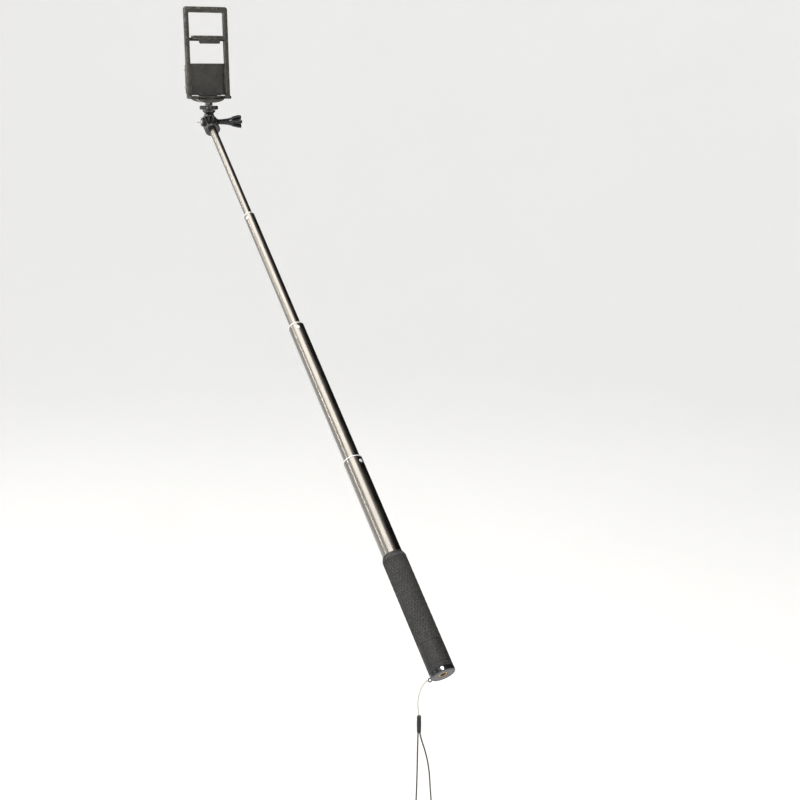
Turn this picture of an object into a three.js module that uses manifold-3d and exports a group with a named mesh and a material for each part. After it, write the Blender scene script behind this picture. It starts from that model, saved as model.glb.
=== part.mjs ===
// Telescopic selfie stick: a four-tube twist-lock pole with a rubber grip and a wrist strap,
// a three-prong tilting head, and a spring-jaw phone holder.
//
// Millimetres, +Z up. The stick is held as a hand holds it: the pole leans towards +Y, the tilt
// axis of the head runs along X, and the phone holder stands upright. The origin is on the pole's
// axis, in the middle of the grip.
import * as THREE from 'three';
import { mergeVertices } from 'three/addons/utils/BufferGeometryUtils.js';
import Module from 'manifold-3d';

const wasm = await Module();
wasm.setup();

// Driving dimensions. Heights along the pole start at the end cap's flat face.
const LEAN = THREE.MathUtils.degToRad(52.4); // the pole's angle from the vertical
const GRIP_CENTRE = 68; // height of the origin along the pole
const GRIP = { low: 4.6, high: 136, radius: 12.75, shoulder: 3.5 };
const CAP = { band: 4.3, radius: 12.9, chamfer: 0.6, plugHigh: 14, bore: 4.6 };
const PIVOT = 812; // height of the tilt axis along the pole
const DISC = { low: 795, high: 799.5, radius: 10 };
const WALL = 0.6; // wall of every tube
const GAP = 0.3; // gap between pieces that touch on the real object
const SLIDE_GAP = 0.25; // gap between pieces that slide
const RIM = 1.5; // height of a mouth's bright rim
const LOCK = 14; // length of a twist lock below its tube's end
// Each tube: outer radius, height of its mouth, and how far its lock sits below the mouth that it
// slides in, then its mouth's bush and the direction, in degrees about the axis, of its rivet.
const TUBES = [
  { radius: 10.6, mouth: 257, bush: 22, rivet: -68 },
  { radius: 9.1, mouth: 450, overlap: 48, bush: 14, rivet: -103 },
  { radius: 6.6, mouth: 635, overlap: 36, bush: 12, rivet: -144 },
  { radius: 4.9, mouth: 794.7, overlap: 30 },
];
const RIVET = { below: 8, head: 2.1, rise: 0.6, shank: 1.3 };

const PRONG = { thick: 3, pitch: 3.05, radius: 7.5, hole: 2.9 };
const BOLT = { radius: 2.5, shoulder: -11.2, point: 1.2, tip: -17.1, inKnob: 6.5 };
const KNOB = { start: 8, skirt: 5.4, neck: 3.3, flare: 29, low: 31.5, high: 42.4, radius: 9.2, lobes: 6 };
const VALLEY = 3; // depth of the hollows between the knob's lobes
const ADAPTER = { low: 8.6, waist: 4.8, high: 15, top: 8.5 };
const WHEEL = { low: 15.3, high: 20.9, radius: 12, bore: 3.5, lobes: 16 };
const STUD = { radius: 3.1, low: 10.8, high: 29.5 };

// The phone holder's heights start at the tilt axis.
const PHONE = { low: 35.1, high: 102.1, front: -12.9, back: -4.2 };
const BOAT = { low: 24.8, high: 33.3, half: 18.5, keel: 6, bilge: 29.6, front: -11.5, back: 8 };
const STERN = { half: 21.5, front: 2.7 }; // the wider part of the boat, behind the legs
const PLATE = { half: 28.8, low: 34.2, high: 74, front: 2.6, back: 4.8 };
const INSERT = { radius: 4.3, bore: 3.45, low: 21.4, high: 31 };
const LOOP = { half: 29, leg: 5.8, low: 29.3, high: 144, bar: 7.4, front: -4, back: 2.3, corner: 3 };
const FOOT = { inner: 18.9, outer: 27.6, high: 33.3, front: -11.5 };
const CHANNEL = { depth: 3.4, front: -2.2, back: 0.6, low: 35.6, high: 132 };
const JAW = { half: 22, low: 103.6, high: 108.2, front: -14.6, back: -4.4, corner: 2.2, ear: 101.7 };
const JAW_LIP = { half: 15, low: 98.2, back: -13.2 };
const PAD = { thick: 1.2, lowerHalf: 14, upperHalf: 19.5 };
const SPRING = { radius: 1.1, core: 0.7, low: 36.4, high: 100.9, turns: 12 };
const SCREW = { head: 2.6, rise: 1.1, shank: 1.1, heights: [44, 66] };

const CAP_RIVET = { turn: -109, shank: 1.4, deep: 1.1, head: 1.95 };
const LUG = { reach: 14.3, turn: 136, height: 1.9, ring: 1.7, wire: 0.55 };
const STRING = 0.6; // radius of the thin string
const STRAP = 0.75; // radius of the wrist cord
const SLIDER = { radius: 2.25, long: 18.4, x: -11.8, drop: 35 };

// Materials
const finish = (color, roughness, metalness) =>
  new THREE.MeshStandardMaterial({ color, roughness, metalness });
const anodised = finish(0x3a3733, 0.32, 0.9);
const polished = finish(0xe8e8e6, 0.15, 1);
const steel = finish(0xb9b9b6, 0.3, 1);
const brass = finish(0xc9a05e, 0.3, 1);
const nylon = finish(0xd8d5cc, 0.5, 0);
const gripRubber = finish(0x232323, 0.8, 0);
const padRubber = finish(0x171717, 0.85, 0);
const blackPlastic = finish(0x141415, 0.45, 0);
const glossPlastic = finish(0x0d0d0e, 0.18, 0);
const whiteString = finish(0xd9d5cc, 0.7, 0);
const darkCord = finish(0x2a2320, 0.8, 0);

// A closed mesh with shared corners, no spent triangles, and its faces pointing out.
function closed(source) {
  const bare = source.clone();
  bare.deleteAttribute('normal');
  bare.deleteAttribute('uv');
  const merged = mergeVertices(bare, 1e-4);
  const corners = Array.from(merged.index.array);
  const place = (k) => new THREE.Vector3().fromBufferAttribute(merged.attributes.position, k);
  const kept = [];
  let volume = 0;
  for (let i = 0; i < corners.length; i += 3) {
    const [a, b, c] = corners.slice(i, i + 3);
    if (a !== b && b !== c && c !== a) {
      kept.push(a, b, c);
      volume += place(a).dot(place(b).cross(place(c)));
    }
  }
  if (volume < 0) {
    kept.reverse();
  }
  merged.setIndex(kept);
  return merged;
}

function toManifold(source) {
  const mesh = closed(source);
  return new wasm.Manifold(new wasm.Mesh({
    numProp: 3,
    vertProperties: new Float32Array(mesh.attributes.position.array),
    triVerts: new Uint32Array(mesh.index.array),
  }));
}

function fromManifold(solid) {
  const mesh = solid.getMesh();
  const geometry = new THREE.BufferGeometry();
  geometry.setAttribute('position', new THREE.BufferAttribute(mesh.vertProperties, 3));
  geometry.setIndex(new THREE.BufferAttribute(mesh.triVerts, 1));
  return geometry;
}

const join = (first, ...others) =>
  fromManifold(others.reduce((sum, next) => sum.add(toManifold(next)), toManifold(first)));
const cut = (first, ...others) =>
  fromManifold(others.reduce((rest, next) => rest.subtract(toManifold(next)), toManifold(first)));

// An outline of [radius, height] points turned about Z.
function turned(outline, sides = 24) {
  const points = outline.map(([radius, height]) => new THREE.Vector2(radius, height));
  return new THREE.LatheGeometry(points, sides).rotateX(Math.PI / 2);
}

const rod = (radius, low, high, sides = 20) =>
  turned([[0, low], [radius, low], [radius, high], [0, high]], sides);
const sleeve = (outer, inner, low, high, sides = 24) =>
  turned([[inner, low], [outer, low], [outer, high], [inner, high], [inner, low]], sides);
// A rod along X.
const crossRod = (radius, low, high, sides = 20) =>
  rod(radius, low, high, sides).rotateY(Math.PI / 2);

function box(x0, x1, y0, y1, z0, z1) {
  const geometry = new THREE.BoxGeometry(x1 - x0, y1 - y0, z1 - z0);
  return geometry.translate((x0 + x1) / 2, (y0 + y1) / 2, (z0 + z1) / 2);
}

// A flat outline in X and Z, given thickness from y0 to y1.
function slab(shape, y0, y1, curveSegments = 4) {
  const geometry = new THREE.ExtrudeGeometry(shape, {
    depth: y1 - y0,
    bevelEnabled: false,
    curveSegments,
  });
  return geometry.rotateX(Math.PI / 2).translate(0, y1, 0);
}

// A wheel's outline with round lobes, its radius swinging by the depth given.
function lobed(radius, depth, lobes, stepsPerLobe = 4) {
  const shape = new THREE.Shape();
  const steps = lobes * stepsPerLobe;
  for (let i = 0; i < steps; i += 1) {
    const turn = (2 * Math.PI * i) / steps;
    const r = radius - depth * (0.5 - 0.5 * Math.cos(lobes * turn));
    if (i === 0) {
      shape.moveTo(r * Math.cos(turn), r * Math.sin(turn));
    } else {
      shape.lineTo(r * Math.cos(turn), r * Math.sin(turn));
    }
  }
  shape.closePath();
  return shape;
}

function addTo(group, name, geometry, material) {
  const mesh = new THREE.Mesh(closed(geometry), material);
  mesh.name = name;
  group.add(mesh);
}

// ---- pole ----

// A mouth's round-headed rivet, and the hole that it sits in, pointing away from the axis.
function rivetAt(tube, grow) {
  const outer = tube.radius;
  const inner = tube.radius - WALL - SLIDE_GAP;
  const solid = grow > 0
    ? rod(RIVET.shank + grow, inner - 3, outer + 3, 12)
    : turned([
      [0, inner - 0.3],
      [RIVET.shank, inner - 0.3],
      [RIVET.shank, outer + 0.15],
      [RIVET.head, outer + 0.15],
      [RIVET.head * 0.8, outer + 0.15 + RIVET.rise * 0.65],
      [RIVET.head * 0.4, outer + 0.15 + RIVET.rise * 0.95],
      [0, outer + 0.15 + RIVET.rise],
    ], 16);
  return solid
    .rotateY(Math.PI / 2)
    .rotateZ(THREE.MathUtils.degToRad(tube.rivet))
    .translate(0, 0, tube.mouth - RIVET.below);
}

function addTube(pole, index, name) {
  const tube = TUBES[index];
  const low = index === 0 ? GRIP.low : tube.outerMouth - tube.overlap + LOCK;
  const high = tube.bush ? tube.mouth - RIM - GAP : tube.mouth;
  const shell = sleeve(tube.radius, tube.radius - WALL, low, high);
  addTo(pole, name, tube.bush ? cut(shell, rivetAt(tube, GAP)) : shell, anodised);
}

// The bright rim, the sliding bush behind it, and the rivet that keeps the bush in.
function addMouth(pole, index) {
  const tube = TUBES[index];
  const next = TUBES[index + 1];
  const bore = next.radius + SLIDE_GAP;
  const rim = turned([
    [bore, tube.mouth - RIM],
    [tube.radius + 0.2, tube.mouth - RIM],
    [tube.radius + 0.35, tube.mouth - RIM * 0.6],
    [tube.radius + 0.1, tube.mouth - 0.15],
    [tube.radius - 0.4, tube.mouth],
    [bore, tube.mouth],
    [bore, tube.mouth - RIM],
  ]);
  const outer = tube.radius - WALL - SLIDE_GAP;
  const bush = sleeve(outer, bore, tube.mouth - tube.bush, tube.mouth - RIM - GAP);
  addTo(pole, `rim_ring_${index + 1}`, rim, polished);
  addTo(pole, `guide_bush_${index + 1}`, cut(bush, rivetAt(tube, GAP)), nylon);
  addTo(pole, `bush_rivet_${index + 1}`, rivetAt(tube, 0), polished);
}

// The plug, threaded stem and cone pressed into a tube's lower end, and the split expander that
// the cone spreads against the bore of the tube outside it.
function addLock(pole, index) {
  const tube = TUBES[index];
  const bore = TUBES[index - 1].radius - WALL;
  const end = tube.outerMouth - tube.overlap + LOCK;
  const cone = Math.min(bore - 2.2, 5.4);
  const stem = 1.9;
  const screw = turned([
    [0, end - LOCK],
    [cone, end - LOCK],
    [cone, end - LOCK + 1.5],
    [stem, end - LOCK + 5],
    [stem, end - 2.2],
    [tube.radius - 0.3, end - 2.2],
    [tube.radius - 0.3, end - GAP],
    [tube.radius - WALL - GAP, end - GAP],
    [tube.radius - WALL - GAP, end + 6],
    [0, end + 6],
  ]);
  const rise = end - LOCK + 1.5;
  const expander = turned([
    [cone + GAP, rise - 0.9],
    [bore - SLIDE_GAP, rise - 0.9],
    [bore - SLIDE_GAP, end - 3.4],
    [bore - SLIDE_GAP - 0.8, end - 2.6],
    [stem + GAP, end - 2.6],
    [stem + GAP, rise + 3.9],
    [cone + GAP, rise + 0.3],
    [cone + GAP, rise - 0.9],
  ]);
  const slot = box(0, bore + 2, -0.6, 0.6, end - LOCK - 1, end);
  addTo(pole, `lock_screw_${index + 1}`, screw, blackPlastic);
  addTo(pole, `expander_${index + 1}`, cut(expander, slot), nylon);
}

function addHandle(pole) {
  const bore = TUBES[0].radius + GAP;
  const grip = turned([
    [bore, GRIP.low],
    [GRIP.radius - 0.4, GRIP.low],
    [GRIP.radius, GRIP.low + 0.6],
    [GRIP.radius, GRIP.high - GRIP.shoulder],
    [GRIP.radius - 1.2, GRIP.high - 0.4],
    [GRIP.radius - 1.7, GRIP.high],
    [bore, GRIP.high],
    [bore, GRIP.low],
  ], 32);
  addTo(pole, 'grip_sleeve', grip, gripRubber);

  const plug = TUBES[0].radius - WALL - GAP;
  const body = turned([
    [CAP.bore, 0],
    [CAP.radius - CAP.chamfer, 0],
    [CAP.radius, CAP.chamfer],
    [CAP.radius, CAP.band - 0.3],
    [CAP.radius - 0.3, CAP.band],
    [plug, CAP.band],
    [plug, CAP.plugHigh],
    [CAP.bore, CAP.plugHigh],
    [CAP.bore, 0],
  ], 32);
  const eye = new THREE.TorusGeometry(LUG.ring, LUG.wire, 8, 16);
  eye.rotateX(Math.PI / 2).translate(LUG.reach, 0, LUG.height);
  eye.rotateZ(THREE.MathUtils.degToRad(LUG.turn));
  const intoPlace = (solid) => solid
    .rotateY(Math.PI / 2)
    .rotateZ(THREE.MathUtils.degToRad(CAP_RIVET.turn))
    .translate(0, 0, CAP.band / 2);
  const deep = CAP.radius - CAP_RIVET.deep;
  const socket = intoPlace(rod(CAP_RIVET.shank + GAP, deep - GAP, CAP.radius + 2, 12));
  const whole = cut(join(body, eye), socket);
  addTo(pole, 'end_cap', whole, glossPlastic);

  const rivet = turned([
    [0, deep],
    [CAP_RIVET.shank, deep],
    [CAP_RIVET.shank, CAP.radius + 0.2],
    [CAP_RIVET.head, CAP.radius + 0.2],
    [CAP_RIVET.head - 0.3, CAP.radius + 0.5],
    [0, CAP.radius + 0.6],
  ], 12);
  addTo(pole, 'end_cap_rivet', intoPlace(rivet), polished);
  addTo(pole, 'tripod_insert', sleeve(CAP.bore - GAP, 3.1, 0.2, 12, 24), brass);
}

// ---- head ----

// A prong: a plate with a round end about the tilt axis, its foot at the height given.
function prong(x, foot) {
  const shape = new THREE.Shape();
  const side = foot > 0 ? 1 : -1;
  shape.moveTo(-PRONG.radius, foot);
  shape.lineTo(-PRONG.radius, 0);
  shape.absarc(0, 0, PRONG.radius, Math.PI, side > 0 ? 2 * Math.PI : 0, side < 0);
  shape.lineTo(PRONG.radius, foot);
  shape.closePath();
  const hole = new THREE.Path();
  hole.absarc(0, 0, PRONG.hole, 0, 2 * Math.PI, false);
  shape.holes.push(hole);
  return slab(shape, -PRONG.thick / 2, PRONG.thick / 2, 8)
    .rotateZ(Math.PI / 2)
    .translate(x, 0, 0);
}

function addLowerMount(pole) {
  const prongs = [-2, 0, 2].map((step) => prong(step * PRONG.pitch, DISC.high - 1 - PIVOT));
  const boss = crossRod(5.6, -2 * PRONG.pitch - 4.3, -2 * PRONG.pitch - 1, 24);
  const disc = turned([
    [0, DISC.low - 14 - PIVOT],
    [3.9, DISC.low - 14 - PIVOT],
    [3.9, DISC.low - PIVOT],
    [DISC.radius - 0.8, DISC.low - PIVOT],
    [DISC.radius, DISC.low + 0.8 - PIVOT],
    [DISC.radius, DISC.high - 1.2 - PIVOT],
    [DISC.radius - 1.2, DISC.high - PIVOT],
    [0, DISC.high - PIVOT],
  ]);
  const recess = crossRod(4.6, -2 * PRONG.pitch - 6, -2 * PRONG.pitch - 1.7, 6);
  const bore = crossRod(PRONG.hole, -12, 12, 24);
  const pinHole = crossRod(1.3, -8, 8, 12).translate(0, 0, DISC.low - 7 - PIVOT);
  const whole = cut(join(disc, ...prongs, boss), recess, bore, pinHole);
  addTo(pole, 'three_prong_mount', whole.translate(0, 0, PIVOT), blackPlastic);

  const pin = crossRod(1, -3.9, 3.9, 12).translate(0, 0, DISC.low - 7);
  addTo(pole, 'mount_pin', pin, steel);

  const nutBlank = crossRod(4.25, -2 * PRONG.pitch - 4.6, -2 * PRONG.pitch - 2, 6);
  const nut = cut(nutBlank, crossRod(BOLT.radius + GAP, -14, 0, 16));
  addTo(pole, 'captive_nut', nut.translate(0, 0, PIVOT), brass);
}

// The clamp screw: a steel bolt along the tilt axis with a long-necked lobed knob on it.
function addThumbScrew(head) {
  const shankBlank = turned([
    [0, KNOB.start],
    [KNOB.skirt, KNOB.start],
    [KNOB.skirt, KNOB.start + 1.6],
    [KNOB.neck, KNOB.start + 4],
    [KNOB.neck + 0.4, (KNOB.start + KNOB.flare) / 2],
    [KNOB.neck + 1.5, KNOB.flare],
    [KNOB.radius - VALLEY - 0.6, KNOB.low + 1],
    [0, KNOB.low + 1],
  ], 24).rotateY(Math.PI / 2);
  const wheel = new THREE.ExtrudeGeometry(lobed(KNOB.radius, VALLEY, KNOB.lobes, 6), {
    depth: KNOB.high - KNOB.low - 2,
    bevelEnabled: true,
    bevelThickness: 1,
    bevelSize: 1,
    bevelOffset: -1,
    bevelSegments: 1,
  }).translate(0, 0, KNOB.low + 1).rotateY(Math.PI / 2);
  const boltEnd = KNOB.high - BOLT.inKnob;
  const boltHole = crossRod(BOLT.radius + GAP, KNOB.start - 1, boltEnd + GAP, 16);
  addTo(head, 'thumb_screw_knob', cut(join(shankBlank, wheel), boltHole), glossPlastic);
  const bolt = turned([
    [0, BOLT.tip],
    [BOLT.point, BOLT.tip],
    [BOLT.point, BOLT.shoulder],
    [BOLT.radius, BOLT.shoulder],
    [BOLT.radius, boltEnd],
    [0, boltEnd],
  ], 16).rotateY(Math.PI / 2);
  addTo(head, 'thumb_screw_bolt', bolt, steel);
}

function addAdapter(head) {
  const body = turned([
    [0, ADAPTER.low],
    [ADAPTER.waist, ADAPTER.low],
    [ADAPTER.waist + 0.6, ADAPTER.low + 2],
    [ADAPTER.top - 0.8, ADAPTER.high - 1.8],
    [ADAPTER.top, ADAPTER.high - 0.8],
    [ADAPTER.top, ADAPTER.high],
    [0, ADAPTER.high],
  ]);
  const prongs = [-1, 1].map((step) => prong(step * PRONG.pitch, ADAPTER.low + 1.6));
  const socket = rod(STUD.radius + GAP, STUD.low - GAP, ADAPTER.high + 1, 24);
  addTo(head, 'two_prong_adapter', cut(join(body, ...prongs), socket), blackPlastic);
  addTo(head, 'tripod_stud', rod(STUD.radius, STUD.low, STUD.high, 20), steel);

  const wheel = new THREE.ExtrudeGeometry(lobed(WHEEL.radius, 1, WHEEL.lobes), {
    depth: WHEEL.high - WHEEL.low - 1.2,
    bevelEnabled: true,
    bevelThickness: 0.6,
    bevelSize: 0.6,
    bevelOffset: -0.6,
    bevelSegments: 1,
  }).translate(0, 0, WHEEL.low + 0.6);
  const bore = rod(WHEEL.bore, WHEEL.low - 1, WHEEL.high + 1, 20);
  addTo(head, 'lock_wheel', cut(wheel, bore), blackPlastic);
}

// ---- phone holder ----

// The boat's outline: a curved underside from the keel out to each side, and a flat top.
function hullOutline(half) {
  const hull = new THREE.Shape();
  hull.moveTo(-BOAT.keel, BOAT.low);
  hull.lineTo(BOAT.keel, BOAT.low);
  hull.quadraticCurveTo(half - 3, BOAT.low + 1, half, BOAT.bilge);
  hull.lineTo(half, BOAT.high);
  hull.lineTo(-half, BOAT.high);
  hull.lineTo(-half, BOAT.bilge);
  hull.quadraticCurveTo(3 - half, BOAT.low + 1, -BOAT.keel, BOAT.low);
  hull.closePath();
  return hull;
}

function addHolderBase(head) {
  const boat = slab(hullOutline(BOAT.half), BOAT.front, BOAT.back - 1);
  const stern = slab(hullOutline(STERN.half), STERN.front, BOAT.back);
  const web = box(-12, 12, 0.3, PLATE.back - 0.8, BOAT.low + 3, PLATE.low + 2);
  const plate = new THREE.Shape();
  const corner = 3;
  plate.moveTo(-PLATE.half, PLATE.low);
  plate.lineTo(PLATE.half, PLATE.low);
  plate.lineTo(PLATE.half, PLATE.high - corner);
  plate.absarc(PLATE.half - corner, PLATE.high - corner, corner, 0, Math.PI / 2, false);
  plate.lineTo(-PLATE.half + corner, PLATE.high);
  plate.absarc(-PLATE.half + corner, PLATE.high - corner, corner, Math.PI / 2, Math.PI, false);
  plate.closePath();
  const back = slab(plate, PLATE.front, PLATE.back);
  const bore = rod(INSERT.radius + GAP, BOAT.low - 1, INSERT.high + GAP, 24);
  const holes = screwPlaces().map(([x, z]) => screwHole(x, z, SCREW.shank + GAP));
  addTo(head, 'holder_base', cut(join(boat, stern, web, back), bore, ...holes), blackPlastic);
  addTo(head, 'base_insert', sleeve(INSERT.radius, INSERT.bore, INSERT.low, INSERT.high, 24), steel);

  const front = BOAT.front + 0.3;
  const pad = box(-PAD.lowerHalf, PAD.lowerHalf, front, -0.2, PHONE.low - PAD.thick, PHONE.low);
  addTo(head, 'lower_pad', pad, padRubber);
}

// Where the four screws hold the back plate to the legs, in X and Z.
function screwPlaces() {
  const x = LOOP.half - 1.5;
  return [-x, x].flatMap((side) => SCREW.heights.map((z) => [side, z]));
}

const screwHole = (x, z, radius) =>
  rod(radius, -1, PLATE.back + 2, 12).rotateX(-Math.PI / 2).translate(x, 0, z);

function addScrews(head) {
  const outline = [
    [0, 0],
    [SCREW.shank, 0],
    [SCREW.shank, PLATE.back + 0.2],
    [SCREW.head, PLATE.back + 0.2],
    [SCREW.head * 0.8, PLATE.back + 0.2 + SCREW.rise * 0.7],
    [0, PLATE.back + 0.2 + SCREW.rise],
  ];
  screwPlaces().forEach(([x, z], k) => {
    const screw = turned(outline, 12).rotateX(-Math.PI / 2).translate(x, 0, z);
    addTo(head, `plate_screw_${k + 1}`, screw, steel);
  });
}

// The tall loop: two channelled legs, the bar across the top, and a foot under each leg.
function addHolderLoop(head) {
  const { half, leg, low, high, bar, corner } = LOOP;
  const outline = new THREE.Shape();
  outline.moveTo(-half, low + 1);
  outline.lineTo(-half + leg, low + 1);
  outline.lineTo(-half + leg, high - bar);
  outline.lineTo(half - leg, high - bar);
  outline.lineTo(half - leg, low + 1);
  outline.lineTo(half, low + 1);
  outline.lineTo(half, high - corner);
  outline.absarc(half - corner, high - corner, corner, 0, Math.PI / 2, false);
  outline.lineTo(-half + corner, high);
  outline.absarc(-half + corner, high - corner, corner, Math.PI / 2, Math.PI, false);
  outline.closePath();
  const loop = slab(outline, LOOP.front, LOOP.back);
  const inner = half - leg;
  const feet = [-1, 1].map((side) => {
    const [x0, x1] = [side * FOOT.inner, side * FOOT.outer].sort((a, b) => a - b);
    return box(x0, x1, FOOT.front, LOOP.back, low, FOOT.high);
  });
  const channels = [-1, 1].map((side) => {
    const [x0, x1] = [side * (inner - 1), side * (inner + CHANNEL.depth)].sort((a, b) => a - b);
    return box(x0, x1, CHANNEL.front, CHANNEL.back, CHANNEL.low, CHANNEL.high);
  });
  const holes = screwPlaces().map(([x, z]) => screwHole(x, z, SCREW.shank + GAP));
  addTo(head, 'holder_loop', cut(join(loop, ...feet), ...channels, ...holes), blackPlastic);
}

// The sliding upper jaw, with an ear in each leg's channel, its pad, and the two springs.
function addUpperJaw(head) {
  const shape = new THREE.Shape();
  const { corner } = JAW;
  shape.moveTo(-JAW.half, JAW.low);
  shape.lineTo(JAW.half, JAW.low);
  shape.lineTo(JAW.half, JAW.high - corner);
  shape.absarc(JAW.half - corner, JAW.high - corner, corner, 0, Math.PI / 2, false);
  shape.lineTo(-JAW.half + corner, JAW.high);
  shape.absarc(-JAW.half + corner, JAW.high - corner, corner, Math.PI / 2, Math.PI, false);
  shape.closePath();
  const bar = slab(shape, JAW.front, JAW.back);
  const tongueBack = CHANNEL.back - SLIDE_GAP;
  const tongue = box(-20, 20, JAW.back - 0.5, tongueBack, JAW.low, JAW.high - 2.5);
  const lip = box(-JAW_LIP.half, JAW_LIP.half, JAW.front, JAW_LIP.back, JAW_LIP.low, JAW.low + 1);
  const reach = LOOP.half - LOOP.leg + CHANNEL.depth - GAP;
  const inset = CHANNEL.front + SLIDE_GAP;
  const ears = box(-reach, reach, inset, tongueBack, JAW.ear, JAW.high - 2.5);
  addTo(head, 'upper_jaw', join(bar, tongue, lip, ears), blackPlastic);

  const top = PHONE.high + PAD.thick;
  const pad = box(-PAD.upperHalf, PAD.upperHalf, -12.9, -2.6, PHONE.high, top);
  addTo(head, 'upper_pad', pad, padRubber);

  const x = LOOP.half - LOOP.leg + CHANNEL.depth / 2 + 0.1;
  const pitch = (SPRING.high - SPRING.low) / SPRING.turns;
  const outline = [[0, SPRING.low], [SPRING.core, SPRING.low]];
  for (let k = 0; k < SPRING.turns; k += 1) {
    outline.push([SPRING.radius, SPRING.low + (k + 0.5) * pitch]);
    outline.push([SPRING.core, SPRING.low + (k + 1) * pitch]);
  }
  outline.push([0, SPRING.high]);
  const y = (CHANNEL.front + CHANNEL.back) / 2;
  addTo(head, 'jaw_spring_left', turned(outline, 6).translate(-x, y, 0), steel);
  addTo(head, 'jaw_spring_right', turned(outline, 6).translate(x, y, 0), steel);
}

// ---- wrist strap ----

// A round cord along a smooth curve through [x, drop] points, both measured from the lug.
function cord(points, radius, steps, place) {
  const curve = new THREE.CatmullRomCurve3(points.map(([x, drop]) => place(x, drop)));
  const section = new THREE.Shape();
  section.absarc(0, 0, radius, 0, 2 * Math.PI, false);
  return new THREE.ExtrudeGeometry(section, { steps, curveSegments: 4, extrudePath: curve });
}

function addStrap(object, lugPlace) {
  const place = (x, drop) => new THREE.Vector3(lugPlace.x + x, lugPlace.y, lugPlace.z - drop);
  const top = SLIDER.drop;
  const bottom = SLIDER.drop + SLIDER.long;
  const string = [
    [-2.6, 0],
    [-5.3, 1.2],
    [-8.3, 4.2],
    [-10.7, 9],
    [-12.5, 15.5],
    [-13.2, 22.5],
    [-12.6, 29],
    [SLIDER.x, top - GAP],
  ];
  addTo(object, 'strap_string', cord(string, STRING, 14, place), whiteString);

  const r = SLIDER.radius;
  const bead = turned([
    [0, 0],
    [r - 0.4, 0],
    [r, 1],
    [r, SLIDER.long - 1],
    [r - 0.6, SLIDER.long],
    [0, SLIDER.long],
  ], 20).translate(lugPlace.x + SLIDER.x, lugPlace.y, lugPlace.z - bottom);
  addTo(object, 'strap_slider', bead, glossPlastic);

  const loop = [
    [SLIDER.x - 1, bottom + GAP],
    [-13, bottom + 8],
    [-13.3, bottom + 22],
    [-13.6, bottom + 40],
    [-14.1, bottom + 60],
    [-14.9, bottom + 80],
    [-15.7, bottom + 98],
    [-15.6, bottom + 112],
    [-13.1, bottom + 123],
    [-8, bottom + 129],
    [-2, bottom + 128.4],
    [2.4, bottom + 122],
    [4.1, bottom + 111],
    [3.6, bottom + 97],
    [2.3, bottom + 80],
    [0.9, bottom + 62],
    [-0.1, bottom + 48],
    [-2.1, bottom + 34],
    [-5.5, bottom + 20],
    [-9.1, bottom + 8],
    [SLIDER.x + 1, bottom + GAP],
  ];
  addTo(object, 'wrist_loop', cord(loop, STRAP, 72, place), darkCord);
}

// ---- assembly ----

TUBES.forEach((tube, index) => {
  tube.outerMouth = index > 0 ? TUBES[index - 1].mouth : 0;
});
const stick = new THREE.Group();
stick.name = 'selfie_stick';
const axis = new THREE.Vector3(0, Math.sin(LEAN), Math.cos(LEAN));

const pole = new THREE.Group();
pole.rotation.x = -LEAN;
pole.position.copy(axis).multiplyScalar(-GRIP_CENTRE);
stick.add(pole);
addHandle(pole);
['handle_tube', 'tube_2', 'tube_3', 'tube_4'].forEach((name, index) => addTube(pole, index, name));
[0, 1, 2].forEach((index) => addMouth(pole, index));
[1, 2, 3].forEach((index) => addLock(pole, index));
addLowerMount(pole);

const head = new THREE.Group();
head.position.copy(axis).multiplyScalar(PIVOT - GRIP_CENTRE);
stick.add(head);
addThumbScrew(head);
addAdapter(head);
addHolderBase(head);
addHolderLoop(head);
addScrews(head);
addUpperJaw(head);

const lugTurn = THREE.MathUtils.degToRad(LUG.turn);
const lugPlace = new THREE.Vector3(
  LUG.reach * Math.cos(lugTurn),
  LUG.reach * Math.sin(lugTurn),
  LUG.height - GRIP_CENTRE,
).applyAxisAngle(new THREE.Vector3(1, 0, 0), -LEAN);
addStrap(stick, lugPlace);

export default stick;
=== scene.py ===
import math

import bpy
import numpy as np
from mathutils import Matrix


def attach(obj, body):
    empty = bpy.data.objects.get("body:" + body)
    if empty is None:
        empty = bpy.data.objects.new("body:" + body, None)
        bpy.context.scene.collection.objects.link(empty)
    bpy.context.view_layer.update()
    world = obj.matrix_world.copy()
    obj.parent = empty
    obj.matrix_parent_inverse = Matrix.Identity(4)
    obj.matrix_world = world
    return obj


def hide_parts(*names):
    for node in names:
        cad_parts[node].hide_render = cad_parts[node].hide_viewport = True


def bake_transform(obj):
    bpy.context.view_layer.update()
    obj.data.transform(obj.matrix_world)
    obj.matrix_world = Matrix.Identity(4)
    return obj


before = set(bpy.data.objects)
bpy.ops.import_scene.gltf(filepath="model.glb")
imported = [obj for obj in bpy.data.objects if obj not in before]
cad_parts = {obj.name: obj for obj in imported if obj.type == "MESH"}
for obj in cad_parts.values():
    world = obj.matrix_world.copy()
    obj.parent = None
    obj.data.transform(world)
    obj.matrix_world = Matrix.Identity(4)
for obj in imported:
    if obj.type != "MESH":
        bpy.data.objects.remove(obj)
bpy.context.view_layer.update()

# Selfie stick: twist-lock pole with a rubber grip, tilting three-prong head, spring-jaw holder.
# Shapes are worked out in millimetres in the pole's or the head's own frame and put in place in metres.

mm = 0.001
stick = {
    "lean": math.radians(52.4),  # pole's angle from the vertical
    "gripMiddle": 68.0,          # end face to the origin, along the pole
    "tiltHeight": 812.0,         # end face to the tilt axis
    "wall": 0.6,
    "slideGap": 0.25,
}
sinLean, cosLean = math.sin(stick["lean"]), math.cos(stick["lean"])
tau = 2 * math.pi


# ---------- places ----------

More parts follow.
